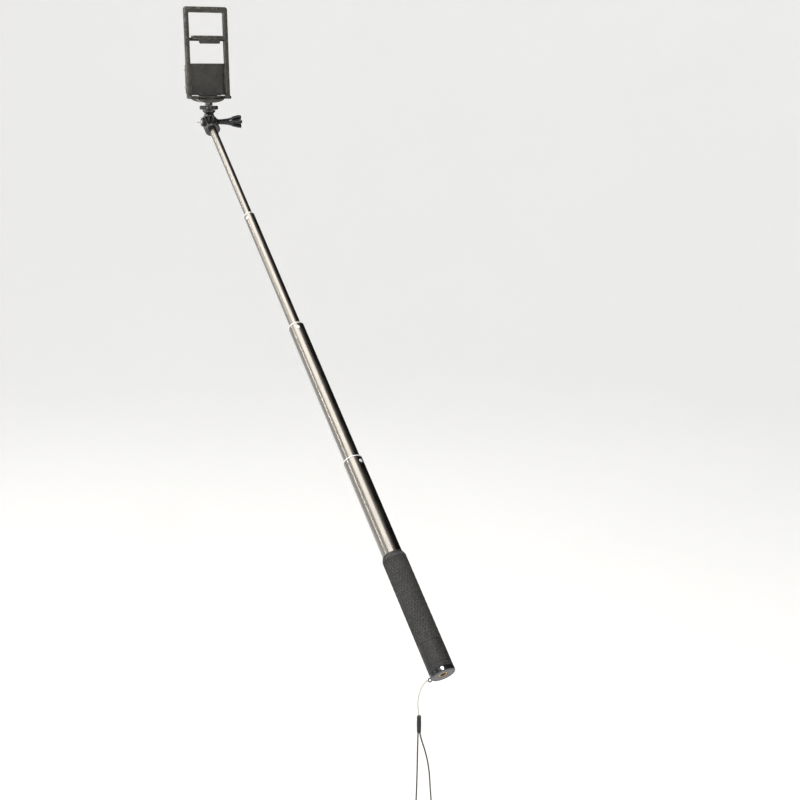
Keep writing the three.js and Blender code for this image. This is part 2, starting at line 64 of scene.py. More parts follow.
def onPole(p):
    # turns the pole's own x, y, height into the row frame: y and height swing by the lean about X
    x, y, h = p[..., 0], p[..., 1], p[..., 2] - stick["gripMiddle"]
    return np.stack([x, y * cosLean + h * sinLean, h * cosLean - y * sinLean], -1) * mm


def onHead(p):
    # the head's frame stands upright on the tilt axis
    rise = stick["tiltHeight"] - stick["gripMiddle"]
    return (p + np.array([0, rise * sinLean, rise * cosLean])) * mm


def crossWise(p):
    # lays a shape made about Z along X: (a, b, h) becomes (h, a, b)
    return p[..., [2, 0, 1]]


def aboutPole(p, turn):
    # turns a point about the pole's axis, in degrees: (x cos - y sin, x sin + y cos, h)
    c, s = math.cos(math.radians(turn)), math.sin(math.radians(turn))
    return np.stack([p[..., 0] * c - p[..., 1] * s, p[..., 0] * s + p[..., 1] * c, p[..., 2]], -1)


def outward(p, turn, height):
    # stands a shape made about Z out from the pole's side, turn degrees about it, at a height
    c, s = math.cos(math.radians(turn)), math.sin(math.radians(turn))
    a, b, h = p[..., 0], p[..., 1], p[..., 2]
    return np.stack([h * c - a * s, h * s + a * c, b + height], -1)


# ---------- surfaces ----------

cornerSteps = 4


def rounded(points, radius, loop, steps=cornerSteps):
    # each corner C becomes the curve (1-u)^2 A + 2u(1-u) C + u^2 B, with A and B one radius away along
    # its two sides; one more point beyond A and B keeps the flats flat
    p = np.array(points, float)
    before, after = np.roll(p, 1, 0) - p, np.roll(p, -1, 0) - p
    lengthBefore = np.linalg.norm(before, axis=1)[:, None] + 1e-9
    lengthAfter = np.linalg.norm(after, axis=1)[:, None] + 1e-9
    cut = np.minimum(radius, 0.4 * np.minimum(lengthBefore, lengthAfter))
    a, b = p + before / lengthBefore * cut, p + after / lengthAfter * cut
    farA = p + before / lengthBefore * np.minimum(2 * cut, 0.48 * lengthBefore)
    farB = p + after / lengthAfter * np.minimum(2 * cut, 0.48 * lengthAfter)
    u = np.linspace(0, 1, steps + 1)[None, :, None]
    arc = (1 - u) ** 2 * a[:, None] + 2 * u * (1 - u) * p[:, None] + u ** 2 * b[:, None]
    rows = np.concatenate([farA[:, None], arc, farB[:, None]], 1)
    edge = np.zeros(rows.shape[:2])
    edge[:, 1:-1] = 1
    if not loop:
        line = np.concatenate([p[:1], rows[1:-1].reshape(-1, 2), p[-1:]])
        return line, np.concatenate([[0], edge[1:-1].ravel(), [0]])
    return rows.reshape(-1, 2), edge.ravel()


def shell(grid, loop=False, edge=None, relief=None):
    # a closed surface from a grid of points: columns always close up; rows close up too, or end in a fan
    rows, cols = grid.shape[:2]
    index = np.arange(rows * cols).reshape(rows, cols)
    lower = index if loop else index[:-1]
    upper = np.roll(index, -1, 0) if loop else index[1:]
    quads = np.stack([lower, np.roll(lower, -1, 1), np.roll(upper, -1, 1), upper], -1).reshape(-1, 4)
    verts = grid.reshape(-1, 3)
    tris = np.zeros((0, 3), int)
    wear = np.zeros((rows, cols)) if edge is None else np.broadcast_to(edge, (rows, cols))
    lift = np.full((rows, cols), 0.5) if relief is None else relief
    wear, lift = wear.ravel(), lift.ravel()
    if not loop:
        n = rows * cols
        first, last = index[0], index[-1]
        verts = np.concatenate([verts, grid[:1].mean(1), grid[-1:].mean(1)])
        start = np.stack([np.full(cols, n), np.roll(first, -1), first], -1)
        finish = np.stack([np.full(cols, n + 1), last, np.roll(last, -1)], -1)
        tris = np.concatenate([start, finish])
        wear, lift = np.append(wear, [0, 0]), np.append(lift, [0.5, 0.5])
    corners = np.concatenate([quads[:, [0, 1, 2]], quads[:, [0, 2, 3]], tris])
    a, b, c = verts[corners[:, 0]], verts[corners[:, 1]], verts[corners[:, 2]]
    if np.einsum("ij,ij->i", a, np.cross(b, c)).sum() < 0:  # inside out, so every face is turned round
        quads, tris = quads[:, ::-1], tris[:, ::-1]
    return {"verts": verts, "quads": quads, "tris": tris, "edge": wear, "relief": lift}


def turned(profile, fillet=0.3, sides=72, loop=False, shape=None, fine=None):
    # surface of revolution: point (r cos t, r sin t, h) of a rounded outline; shape(r, h, t) may move r
    line, edge = rounded(profile, fillet, loop)
    if fine:  # rows no further apart than fine, for a pattern that needs them
        count = np.maximum(1, np.ceil(np.linalg.norm(np.diff(line, axis=0), axis=1) / fine)).astype(int)
        at = np.concatenate([np.arange(n) / n + k for k, n in enumerate(count)] + [[len(count)]])
        whole = np.arange(len(line))
        line = np.stack([np.interp(at, whole, line[:, 0]), np.interp(at, whole, line[:, 1])], -1)
        edge = np.interp(at, whole, edge)
    if not loop:
        keep = line[:, 0] > 1e-6
        line, edge = line[keep], edge[keep]
    t = np.arange(sides) * tau / sides
    r, h = np.broadcast_arrays(line[:, :1], line[:, 1:])
    r, h, t = np.broadcast_arrays(r, h, t[None, :])
    relief = None
    if shape:
        r, relief = shape(r, h, t)
    return np.stack([r * np.cos(t), r * np.sin(t), h], -1), loop, edge[:, None], relief


def slab(outline, y0, y1, edge, corner=1.0, smooth=False):
    # a flat outline in x and z made thick along y; near each face it shrinks by e(1-cos a) as the depth
    # goes e(1-sin a), so the rim is a quarter circle
    line = np.array(outline, float) if smooth else rounded(outline, corner, True)[0]
    along = np.roll(line, -1, 0) - np.roll(line, 1, 0)
    out = np.stack([along[:, 1], -along[:, 0]], -1) / (np.linalg.norm(along, axis=1)[:, None] + 1e-9)
    area = (line[:, 0] * np.roll(line[:, 1], -1) - np.roll(line[:, 0], -1) * line[:, 1]).sum()
    out = out * np.sign(area)
    a = np.linspace(0, math.pi / 2, cornerSteps + 1)
    near = np.concatenate([[2 * edge], edge * (1 - np.sin(a)), [0]])
    inset = np.concatenate([near, near[::-1]])
    depth = np.concatenate([[0], edge * (1 - np.cos(a)), [2 * edge]])
    y = np.concatenate([y0 + depth, y1 - depth[::-1]])
    worn = np.concatenate([[0], np.ones(cornerSteps + 1), [0]])
    wear = np.concatenate([worn, worn])
    flat = line[None] - out[None] * inset[:, None, None]
    grid = np.stack([flat[..., 0], np.broadcast_to(y[:, None], flat.shape[:2]), flat[..., 1]], -1)
    return grid, False, wear[:, None], None


def ringPlate(inner, outer, low, high, edge, sides=96):
    # a plate round an axis: its bore and rim are distances inner(t) and outer(t), its section a rounded box
    t = np.arange(sides) * tau / sides
    near, far = inner(t)[None], outer(t)[None]
    span = float((far - near).mean())
    line, wear = rounded([[0, low], [span, low], [span, high], [0, high]], edge, True, 3)
    r = near + (far - near) * line[:, :1] / span
    h = np.broadcast_to(line[:, 1:], r.shape)
    return np.stack([r * np.cos(t), r * np.sin(t), h], -1), True, wear[:, None], None


def runLength(path):
    return np.concatenate([[0], np.cumsum(np.linalg.norm(np.diff(path, axis=0), axis=1))])


def sweep(path, side, radius, sides=10, relief=None, depth=0.0):
    # carries a circle along a path: ring k stands square to the tangent, its first axis the given side
    # vector less its part along the tangent; relief(s, t) lifts the skin by depth
    tangent = np.gradient(path, axis=0)
    tangent /= np.linalg.norm(tangent, axis=1)[:, None]
    side = np.broadcast_to(side, path.shape)
    first = side - tangent * (side * tangent).sum(1)[:, None]
    first /= np.linalg.norm(first, axis=1)[:, None]
    second = np.cross(tangent, first)
    t = np.arange(sides) * tau / sides
    s = runLength(path)
    lift = np.full((len(path), sides), 0.5) if relief is None else relief(s[:, None], t[None, :])
    r = radius + depth * (lift - 1)
    c, s = np.cos(t)[None, :, None], np.sin(t)[None, :, None]
    grid = path[:, None] + r[..., None] * (c * first[:, None] + s * second[:, None])
    return grid, False, None, lift


def makePiece(name, parts, place, body, finish, node=None):
    # one mesh object from closed surfaces, each (grid, loop, edge, relief), put in the row frame by place;
    # it rides on a body and stands for a CAD node, if it has them
    shells = [shell(place(grid), loop, edge, relief) for grid, loop, edge, relief in parts]
    start = np.cumsum([0] + [len(s["verts"]) for s in shells])
    verts = np.concatenate([s["verts"] for s in shells])
    faces = sum([(s["quads"] + k).tolist() + (s["tris"] + k).tolist() for s, k in zip(shells, start)], [])
    mesh = bpy.data.meshes.new(name)
    mesh.from_pydata(verts.tolist(), [], faces)
    mesh.polygons.foreach_set("use_smooth", np.ones(len(faces), bool))
    for label in ("edge", "relief"):
        layer = mesh.attributes.new(label, "FLOAT", "POINT")
        layer.data.foreach_set("value", np.concatenate([s[label] for s in shells]).astype(np.float32))
    mesh.materials.append(finish)
    mesh.update()
    piece = bpy.data.objects.new(name, mesh)
    bpy.context.scene.collection.objects.link(piece)
    if body:
        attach(piece, body)
    if node:
        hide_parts(node)
    return piece


# ---------- camera ----------

view = {"place": (-0.5090, -0.9635, 0.5142), "down": 74.82, "turn": -26.95, "lens": 54.0, "sensor": 36.0}
camera = bpy.data.objects.new("camera", bpy.data.cameras.new("camera"))
camera.data.lens, camera.data.sensor_width = view["lens"], view["sensor"]
camera.location = view["place"]
camera.rotation_euler = (math.radians(view["down"]), 0, math.radians(view["turn"]))
bpy.context.scene.collection.objects.link(camera)
bpy.context.scene.camera = camera
print("camera stands")


# ---------- effects shared by the materials ----------

def newGroup(name, inputs, outputs):
    # inputs: name to default value, where None makes a vector
    group = bpy.data.node_groups.new(name, "ShaderNodeTree")
    for label, value in inputs.items():
        kind = "NodeSocketVector" if value is None else "NodeSocketFloat"
        socket = group.interface.new_socket(label, in_out="INPUT", socket_type=kind)
        if value is not None:
            socket.default_value = value
    for label in outputs:
        group.interface.new_socket(label, in_out="OUTPUT", socket_type="NodeSocketFloat")
    return group, group.nodes.new("NodeGroupInput").outputs, group.nodes.new("NodeGroupOutput").inputs


def link(value, socket):
    # a socket is joined on; a number, a vector or a colour becomes the socket's own value
    if isinstance(value, bpy.types.NodeSocket):
        socket.id_data.links.new(value, socket)
    elif value is not None:
        short = socket.type == "RGBA" and len(value) == 3
        socket.default_value = (*value, 1) if short else value


def addNode(tree, kind, **values):
    node = tree.nodes.new("ShaderNode" + kind)
    for key, value in values.items():
        if hasattr(node, key):
            setattr(node, key, value)
        else:
            link(value, node.inputs[key.replace("_", " ")])
    return node


def maths(tree, operation, a, b=None, c=None, clamp=False):
    node = addNode(tree, "Math", operation=operation, use_clamp=clamp)
    for socket, value in zip(node.inputs, (a, b, c)):
        link(value, socket)
    return node.outputs[0]


def noise(tree, vector, scale, detail=3.0, rough=0.55):
    node = addNode(tree, "TexNoise", Vector=vector, Scale=scale, Detail=detail, Roughness=rough)
    return node.outputs["Fac"]


def span(tree, value, low, high):
    # 0 below low, 1 above high, smooth between
    smooth = {"interpolation_type": "SMOOTHSTEP", "From_Min": low, "From_Max": high}
    return addNode(tree, "MapRange", Value=value, **smooth).outputs["Result"]


def makeGrain():
    # moulded grain: cells of two sizes and a fine noise, added up
    tree, given, out = newGroup("mouldedGrain", {"Vector": None, "Scale": 900.0}, ["Height", "Mottle"])
    cells = addNode(tree, "TexVoronoi", feature="SMOOTH_F1", Vector=given["Vector"], Scale=given["Scale"])
    fine = noise(tree, given["Vector"], maths(tree, "MULTIPLY", given["Scale"], 2.6))
    broad = noise(tree, given["Vector"], maths(tree, "MULTIPLY", given["Scale"], 0.05))
    link(maths(tree, "MULTIPLY_ADD", cells.outputs["Distance"], 0.7, fine), out["Height"])
    link(span(tree, broad, 0.3, 0.7), out["Mottle"])
    return tree


def makeDrawn():
    # lines drawn along the tube: a noise stretched fifty times along the pole, and a few deeper scratches
    tree, given, out = newGroup("drawnLines", {"Vector": None}, ["Lines", "Scratch"])
    lie = addNode(tree, "Mapping", Vector=given["Vector"], Rotation=(stick["lean"], 0, 0)).outputs[0]
    long = addNode(tree, "Mapping", Vector=lie, Scale=(1, 1, 0.02)).outputs[0]
    across = addNode(tree, "Mapping", Vector=lie, Rotation=(0.35, 0.2, 0.1), Scale=(1, 1, 0.05)).outputs[0]
    link(noise(tree, long, 2600.0, 4.0), out["Lines"])
    link(span(tree, noise(tree, across, 420.0, 2.0), 0.70, 0.78), out["Scratch"])
    return tree


def makeWear():
    # edge wear: the piece's own edge value broken up by a noise, and handling smears over all of it
    tree, given, out = newGroup("edgeWear", {"Vector": None, "Edge": 0.0, "Amount": 0.5}, ["Worn", "Smear"])
    patch = noise(tree, given["Vector"], 260.0, 4.0, 0.65)
    worn = maths(tree, "MULTIPLY", given["Edge"], span(tree, patch, 0.42, 0.66))
    link(maths(tree, "MULTIPLY", worn, given["Amount"], clamp=True), out["Worn"])
    smear = noise(tree, given["Vector"], 55.0, 5.0, 0.6)
    link(span(tree, smear, 0.35, 0.7), out["Smear"])
    return tree


def makeDust():
    # dust: lies where the surface faces up, and in the low places of its relief
    tree, given, out = newGroup("settledDust", {"Vector": None, "Relief": 0.5, "Amount": 0.3}, ["Dust"])
    split = addNode(tree, "SeparateXYZ", Vector=addNode(tree, "NewGeometry").outputs["Normal"])
    up = span(tree, split.outputs["Z"], -0.2, 1.0)
    low = maths(tree, "SUBTRACT", 1.0, span(tree, given["Relief"], 0.1, 0.6))
    specks = span(tree, noise(tree, given["Vector"], 1500.0, 5.0, 0.7), 0.45, 0.75)
    both = maths(tree, "ADD", maths(tree, "MULTIPLY", up, 0.6), maths(tree, "MULTIPLY", low, 0.8), clamp=True)
    lying = maths(tree, "MULTIPLY", both, specks)
    link(maths(tree, "MULTIPLY", lying, given["Amount"]), out["Dust"])
    return tree


grainGroup, drawnGroup, wearGroup, dustGroup = makeGrain(), makeDrawn(), makeWear(), makeDust()


def useGroup(tree, group, **values):
    return addNode(tree, "Group", node_tree=group, **values).outputs


def blendColour(tree, amount, first, second):
    # sockets 6 and 7 are the colour ones, and output 2 is the colour
    node = addNode(tree, "Mix", data_type="RGBA", Factor=amount)
    link(first, node.inputs[6])
    link(second, node.inputs[7])
    return node.outputs[2]


def startMaterial(name, **constants):
    material = bpy.data.materials.new(name)
    material.use_nodes = True
    tree = material.node_tree
    shader = tree.nodes["Principled BSDF"]
    for key, value in constants.items():
        shader.inputs[key.replace("_", " ")].default_value = value
    where = addNode(tree, "TexCoord").outputs["Object"]
    edge = addNode(tree, "Attribute", attribute_name="edge").outputs["Fac"]
    relief = addNode(tree, "Attribute", attribute_name="relief").outputs["Fac"]
    return material, tree, shader, where, edge, relief


def addBump(tree, shader, height, strength, distance):
    bump = addNode(tree, "Bump", Strength=strength, Distance=distance, Height=height)
    link(bump.outputs[0], shader.inputs["Normal"])


def plasticOrRubber(name, dark, light, worn, rough, grain, bump, dust=0.25, wear=0.5, **constants):
    # moulded finish: two near tones mottled together, bare edges lighter, dust in the low places
    material, tree, shader, where, edge, relief = startMaterial(name, **constants)
    moulded = useGroup(tree, grainGroup, Vector=where, Scale=grain)
    used = useGroup(tree, wearGroup, Vector=where, Edge=edge, Amount=wear)
    settled = useGroup(tree, dustGroup, Vector=where, Relief=relief, Amount=dust)
    colour = blendColour(tree, moulded["Mottle"], dark, light)
    colour = blendColour(tree, used["Worn"], colour, worn)
    colour = blendColour(tree, settled["Dust"], colour, (0.42, 0.40, 0.37))
    link(colour, shader.inputs["Base Color"])
    smear = maths(tree, "MULTIPLY_ADD", used["Smear"], 0.16, rough - 0.08)
    dull = maths(tree, "MULTIPLY", settled["Dust"], 0.5)
    link(maths(tree, "ADD", smear, dull, clamp=True), shader.inputs["Roughness"])
    addBump(tree, shader, moulded["Height"], bump, 0.0002)
    return material


def metal(name, tone, second, rough, lines=0.3, worn=(0.8, 0.78, 0.75), wear=0.4, paintedShade=0.0, **constants):
    # drawn or turned metal: tone shifts a little with the drawn lines, worn edges brighter and smoother,
    # and painted shade darkens whatever has a relief under a half
    constants.setdefault("Metallic", 1.0)
    material, tree, shader, where, edge, relief = startMaterial(name, **constants)
    drawn = useGroup(tree, drawnGroup, Vector=where)
    used = useGroup(tree, wearGroup, Vector=where, Edge=edge, Amount=wear)
    colour = blendColour(tree, drawn["Lines"], tone, second)
    colour = blendColour(tree, used["Worn"], colour, worn)
    # painted shade: where the relief is under a half, the colour goes towards near black
    if paintedShade:
        low = maths(tree, "MULTIPLY_ADD", relief, -2.0 * paintedShade, paintedShade, clamp=True)
        colour = blendColour(tree, low, colour, (0.012, 0.009, 0.006))
    link(colour, shader.inputs["Base Color"])
    level = maths(tree, "MULTIPLY_ADD", drawn["Lines"], 0.12, rough - 0.06)
    level = maths(tree, "MULTIPLY_ADD", used["Smear"], 0.08, level)
    level = maths(tree, "MULTIPLY_ADD", drawn["Scratch"], 0.10, level, clamp=True)
    link(level, shader.inputs["Roughness"])
    height = maths(tree, "ADD", drawn["Lines"], drawn["Scratch"])
    addBump(tree, shader, height, lines, 0.00002)
    return material


def braided(name, low, high, rough, **constants):
    # braided cord: painted shade darkens the gaps between the strands, so their tops stand lighter; loose
    # fibre in the bump
    material, tree, shader, where, edge, relief = startMaterial(name, **constants)
    fibre = noise(tree, where, 6000.0, 4.0)
    # painted shade: the colour runs from the dark tone in the strands' gaps to the light one on their tops
    depth = maths(tree, "MULTIPLY_ADD", fibre, 0.35, maths(tree, "MULTIPLY", relief, 0.8), clamp=True)
    link(blendColour(tree, depth, low, high), shader.inputs["Base Color"])
    link(maths(tree, "MULTIPLY_ADD", fibre, 0.2, rough - 0.1), shader.inputs["Roughness"])
    addBump(tree, shader, fibre, 0.4, 0.0001)
    return material


tubeMetal = metal(
    "anodisedTube", (0.20, 0.185, 0.165), (0.27, 0.25, 0.222), 0.27,
    lines=0.12, Coat_Weight=1.0, Coat_Roughness=0.03)
brightMetal = metal("polishedAluminium", (0.86, 0.86, 0.85), (0.93, 0.92, 0.90), 0.14, 0.2)
rimMetal = metal("turnedRim", (0.84, 0.84, 0.83), (0.93, 0.92, 0.90), 0.34, 0.15, Metallic=0.35)
steelMetal = metal("steel", (0.52, 0.51, 0.50), (0.62, 0.61, 0.59), 0.28)
# the brass insert's bore is darkened with painted shade
brassMetal = metal("brass", (0.50, 0.33, 0.16), (0.64, 0.44, 0.23), 0.26, worn=(0.9, 0.74, 0.5), paintedShade=0.95)
nutMetal = metal(
    "dulledBrass", (0.060, 0.044, 0.026), (0.095, 0.070, 0.042), 0.42, worn=(0.30, 0.22, 0.12), wear=0.2)
nylonFinish = plasticOrRubber(
    "nylon", (0.62, 0.60, 0.55), (0.72, 0.70, 0.65), (0.8, 0.78, 0.74),
    rough=0.45, grain=1100.0, bump=0.15, Subsurface_Weight=0.05)
gripFinish = plasticOrRubber(
    "gripRubber", (0.011, 0.011, 0.012), (0.019, 0.019, 0.020), (0.10, 0.10, 0.098),
    rough=0.56, grain=2400.0, bump=0.35, dust=0.55, wear=0.8, Specular_IOR_Level=0.3)
padFinish = plasticOrRubber(
    "padRubber", (0.012, 0.012, 0.013), (0.02, 0.02, 0.021), (0.05, 0.05, 0.05),
    rough=0.72, grain=2000.0, bump=0.4, dust=0.35)
plasticFinish = plasticOrRubber(
    "blackPlastic", (0.011, 0.011, 0.012), (0.019, 0.019, 0.020), (0.10, 0.098, 0.095),
    rough=0.38, grain=1500.0, bump=0.22, dust=0.12, wear=0.45, Specular_IOR_Level=0.32)
headFinish = plasticOrRubber(
    "mouldedHead", (0.008, 0.008, 0.009), (0.014, 0.014, 0.015), (0.14, 0.135, 0.12),
    rough=0.17, grain=1500.0, bump=0.10, dust=0.10, wear=0.6, Specular_IOR_Level=0.7)
frameFinish = plasticOrRubber(
    "framePlastic", (0.024, 0.0225, 0.018), (0.040, 0.037, 0.030), (0.20, 0.19, 0.155),
    rough=0.27, grain=1500.0, bump=0.18, dust=0.12, wear=0.5, Specular_IOR_Level=0.55)
glossFinish = plasticOrRubber(
    "glossPlastic", (0.006, 0.006, 0.008), (0.010, 0.010, 0.013), (0.06, 0.06, 0.07),
    rough=0.14, grain=1300.0, bump=0.05, dust=0.06, wear=0.3, Specular_IOR_Level=0.42)
stringFinish = braided("paleString", (0.26, 0.245, 0.22), (0.60, 0.57, 0.51), 0.7, Sheen_Weight=0.3)
cordFinish = braided("darkCord", (0.008, 0.006, 0.005), (0.042, 0.030, 0.024), 0.62, Sheen_Weight=0.15)
print("materials made")


# ---------- wrist strap ----------

strap = {
    "lugHeight": 1.9,        # up the pole from the end face
    "lugReach": 14.3,        # out from the pole's axis
    "lugTurn": 136.0,        # about the axis, in degrees
    "stringRadius": 0.6,
    "cordRadius": 0.75,
    # [x, drop] from the lug, in the upright plane through it
    "string": [
        [-2.6, 0], [-5.3, 1.2], [-8.3, 4.2], [-10.7, 9],
        [-12.5, 15.5], [-13.2, 22.5], [-12.6, 29], [-11.8, 34.7],
    ],
    "loop": [
        [-12.8, 53.7], [-13, 61.4], [-13.3, 75.4], [-13.6, 93.4], [-14.1, 113.4], [-14.9, 133.4],
        [-15.7, 151.4], [-15.6, 165.4], [-13.1, 176.4], [-8, 182.4], [-2, 181.8], [2.4, 175.4],
        [4.1, 164.4], [3.6, 150.4], [2.3, 133.4], [0.9, 115.4], [-0.1, 101.4], [-2.1, 87.4],
        [-5.5, 73.4], [-9.1, 61.4], [-10.8, 53.7],
    ],
}
bead = {"x": -11.8, "drop": 35.0, "long": 18.4, "radius": 2.25, "sag": 0.18, "groove": 0.12}
knot = {"x": -3.1, "drop": 0.1, "size": 0.34, "radius": 0.42}
lugPlace = onPole(aboutPole(np.array([strap["lugReach"], 0, strap["lugHeight"]]), strap["lugTurn"])) / mm
acrossY = np.array([0.0, 1.0, 0.0])


def besideLug(points):
    # [x, drop] becomes a point in mm of the row frame
    p = np.array(points, float)
    x, drop = p[..., 0], p[..., 1]
    return np.stack([lugPlace[0] + x, np.full_like(x, lugPlace[1]), lugPlace[2] - drop], -1)


def inMetres(p):
    return p * mm


def smoothLine(points, step):
    # Catmull-Rom line: between points B and C it is the cubic with slopes (C-A)/2 and (D-B)/2
    p = np.array(points, float)
    p = np.concatenate([[2 * p[0] - p[1]], p, [2 * p[-1] - p[-2]]])
    a, b, c, d = p[:-3, None], p[1:-2, None], p[2:-1, None], p[3:, None]
    u = np.linspace(0, 1, 24, endpoint=False)[None, :, None]
    line = b + 0.5 * (c - a) * u + (a - 2.5 * b + 2 * c - 0.5 * d) * u ** 2
    line = line + (1.5 * (b - c) + 0.5 * (d - a)) * u ** 3
    line = np.concatenate([line.reshape(-1, p.shape[1]), p[-2:-1]])
    s = runLength(line)
    even = np.linspace(0, s[-1], max(8, int(s[-1] / step)))
    return np.stack([np.interp(even, s, line[:, k]) for k in range(p.shape[1])], -1), s[-1]


def braid(strands, pitch):
    # two families of strands wound opposite ways; the skin is as high as the higher of the two
    def relief(s, t):
        one = np.cos(strands * t + tau * s / pitch)
        other = np.cos(strands * t - tau * s / pitch)
        return 0.5 + 0.5 * np.maximum(one, other)
    return relief


def makeBead():
    # barrel bead: r = R - sag (2h/L - 1)^2, with a ring groove near each end
    r, long = bead["radius"], bead["long"]

    def swell(radius, h, t):
        u = 2 * h / long - 1
        groove = np.exp(-((np.abs(u) - 0.80) / 0.02) ** 2)
        return radius - bead["sag"] * u ** 2 - bead["groove"] * groove * (radius > 0.6 * r), None
    profile = [
        [0, 0.9], [1.3, 0.9], [1.45, 0], [r - 0.3, 0], [r, 0.8], [r, long - 0.8], [r - 0.5, long],
        [0.9, long], [0.8, long - 0.6], [0, long - 0.6],
    ]
    centre = besideLug([bead["x"], bead["drop"] + long])
    grid = turned(profile, 0.35, 48, shape=swell, fine=0.12)
    place = lambda p: (p + centre) * mm
    return makePiece("strapBead", [grid], place, "wrist_strap", glossFinish, "strap_slider")


def makeKnot():
    # overhand knot at the lug: the curve (sin u + 2 sin 2u, cos u - 2 cos 2u, -sin 3u), drawn small
    u = np.linspace(0, tau, 160)
    curve = np.stack([np.sin(u) + 2 * np.sin(2 * u), np.cos(u) - 2 * np.cos(2 * u), -np.sin(3 * u)], -1)
    side = np.array([0.3, 0.2, 1.0])  # any direction that the curve never runs along
    grid = sweep(curve * knot["size"], side, knot["radius"], 10, braid(3, 1.4), 0.07)
    place = lambda p: (p + besideLug([knot["x"], knot["drop"]])) * mm
    return makePiece("strapKnot", [grid], place, "wrist_strap", stringFinish)


stringLine, stringLong = smoothLine(besideLug(strap["string"]), 0.22)
loopLine, loopLong = smoothLine(besideLug(strap["loop"]), 0.24)
stringGrid = sweep(stringLine, acrossY, strap["stringRadius"], 14, braid(3, 1.5), 0.10)
loopGrid = sweep(loopLine, acrossY, strap["cordRadius"], 16, braid(4, 1.9), 0.13)
string = makePiece(
    "strapString", [stringGrid], inMetres, "wrist_strap", stringFinish, "strap_string")
wristLoop = makePiece(
    "wristLoop", [loopGrid], inMetres, "wrist_strap", cordFinish, "wrist_loop")
makeBead()
makeKnot()
print("wrist strap hangs:", round(stringLong, 1), "and", round(loopLong, 1), "mm")


# ---------- grip and end cap ----------

grip = {
    "low": 4.6, "high": 136.0, "radius": 12.75, "bore": 10.9,
    "diamonds": 26, "tall": 3.5, "depth": 0.5, "width": 0.16,   # how many round, height, groove
    "from": 34.0, "to": 129.0, "cuff": 9.0,                      # pattern's ends and one ring groove
}


def diamonds(r, h, t):
    # two families of helical grooves, each exp(-(distance/width)^2) deep, leave diamonds between them;
    # ring grooves mark both ends of the pattern
    g = grip
    side = r > g["bore"] + 1
    one = g["diamonds"] * t / tau + h / g["tall"] / 2
    other = g["diamonds"] * t / tau - h / g["tall"] / 2
    away = [np.abs(p - np.round(p)) for p in (one, other)]
    groove = np.maximum(*[np.exp(-(d / g["width"]) ** 2) for d in away])
    fade = np.clip((h - g["from"]) / 1.2, 0, 1) * np.clip((g["to"] - h) / 1.2, 0, 1)
    ring = sum(np.exp(-((h - at) / 0.35) ** 2) for at in (g["from"] - 1.6, g["to"] + 1.6, g["cuff"]))
    sunk = np.maximum(groove * fade, ring) * side
    return r - g["depth"] * sunk, 1 - sunk


g = grip
line = [
    [g["bore"], g["low"]], [g["radius"] - 0.4, g["low"]], [g["radius"], g["low"] + 0.6],
    [g["radius"], g["high"] - 4.2], [g["radius"] - 1.5, g["high"] - 0.4], [g["bore"], g["high"]],
]
skin, _, edge, relief = turned(line, 0.8, 288, shape=diamonds, fine=0.40)  # the bore closes the loop
parts = [(skin, True, edge, relief)]
makePiece("gripSleeve", parts, onPole, "handle", gripFinish, "grip_sleeve")

cap = {
    "band": 4.3, "radius": 12.9, "plug": 14.0, "bore": 4.6, "plugRadius": 9.7,
    "eyeRing": 1.7, "eyeWire": 0.55, "rivetTurn": -109.0, "rivetShank": 1.4, "rivetHead": 1.95,
}

# turned cap with a shallow ring on its end face, and a torus for the strap's eye
c = cap
r, band = c["radius"], c["band"]
line = [
    [c["bore"], 0], [c["bore"] + 0.4, 0], [r - 2.2, 0], [r - 2.0, 0.25], [r - 1.4, 0.25], [r - 1.2, 0],
    [r - 0.6, 0], [r, 0.6], [r, band - 0.3], [r - 0.3, band],
    [c["plugRadius"], band], [c["plugRadius"], c["plug"]], [c["bore"], c["plug"]],
]
body = turned(line, 0.25, 96, loop=True)
u = np.linspace(0, tau, 49)[:-1]
t = np.arange(16) * tau / 16
away = np.stack([np.cos(u), 0 * u, np.sin(u)], -1)
ring = np.array([strap["lugReach"], 0, strap["lugHeight"]]) + c["eyeRing"] * away
wire = np.cos(t)[None, :, None] * away[:, None] + np.sin(t)[None, :, None] * acrossY
eye = aboutPole(ring[:, None] + c["eyeWire"] * wire, strap["lugTurn"])
parts = [body, (eye, True, None, None)]
makePiece("endCap", parts, onPole, "handle", glossFinish, "end_cap")

c = cap
r, shank, wide = c["radius"], c["rivetShank"], c["rivetHead"]
line = [
    [0, r - 1.1], [shank, r - 1.1], [shank, r - 0.1], [wide, r - 0.1], [wide - 0.05, r + 0.35],
    [1.5, r + 0.55], [0, r + 0.62],
]
place = lambda p: onPole(outward(p, c["rivetTurn"], c["band"] / 2))
disc = turned(line, 0.2, 48)
makePiece("endCapRivet", [disc], place, "handle", brightMetal, "end_cap_rivet")


def screwThread(pitch, depth, where):
    # V thread: r falls by depth times |2 frac(h/pitch - t/turn) - 1|, where(r, h) picks the threaded side
    def shape(r, h, t):
        turnAt = h / pitch - t / tau
        wave = np.abs(2 * (turnAt - np.floor(turnAt)) - 1)
        on = where(r, h)
        return r - depth * wave * on, 1 - wave * on
    return shape


insert = {"outer": 4.3, "bore": 3.3, "low": 0.2, "high": 12.0, "pitch": 1.27, "thread": 0.25, "lit": 1.6}


def insertThread(r, h, t):
    # thread on the bore only; its relief is kept low so the bore is painted in shade, and nothing beyond the
    # first turn is lit
    n = insert
    cutting = screwThread(n["pitch"], n["thread"], lambda r, h: (r < n["bore"] + 0.2) & (h > n["low"] + 0.4))
    moved, relief = cutting(r, h, t)
    bore = (r < n["bore"] + 0.3) & (h > n["low"] + 0.05)
    return moved, np.where(bore, 0.25 * relief * (h < n["lit"]), 1.0)


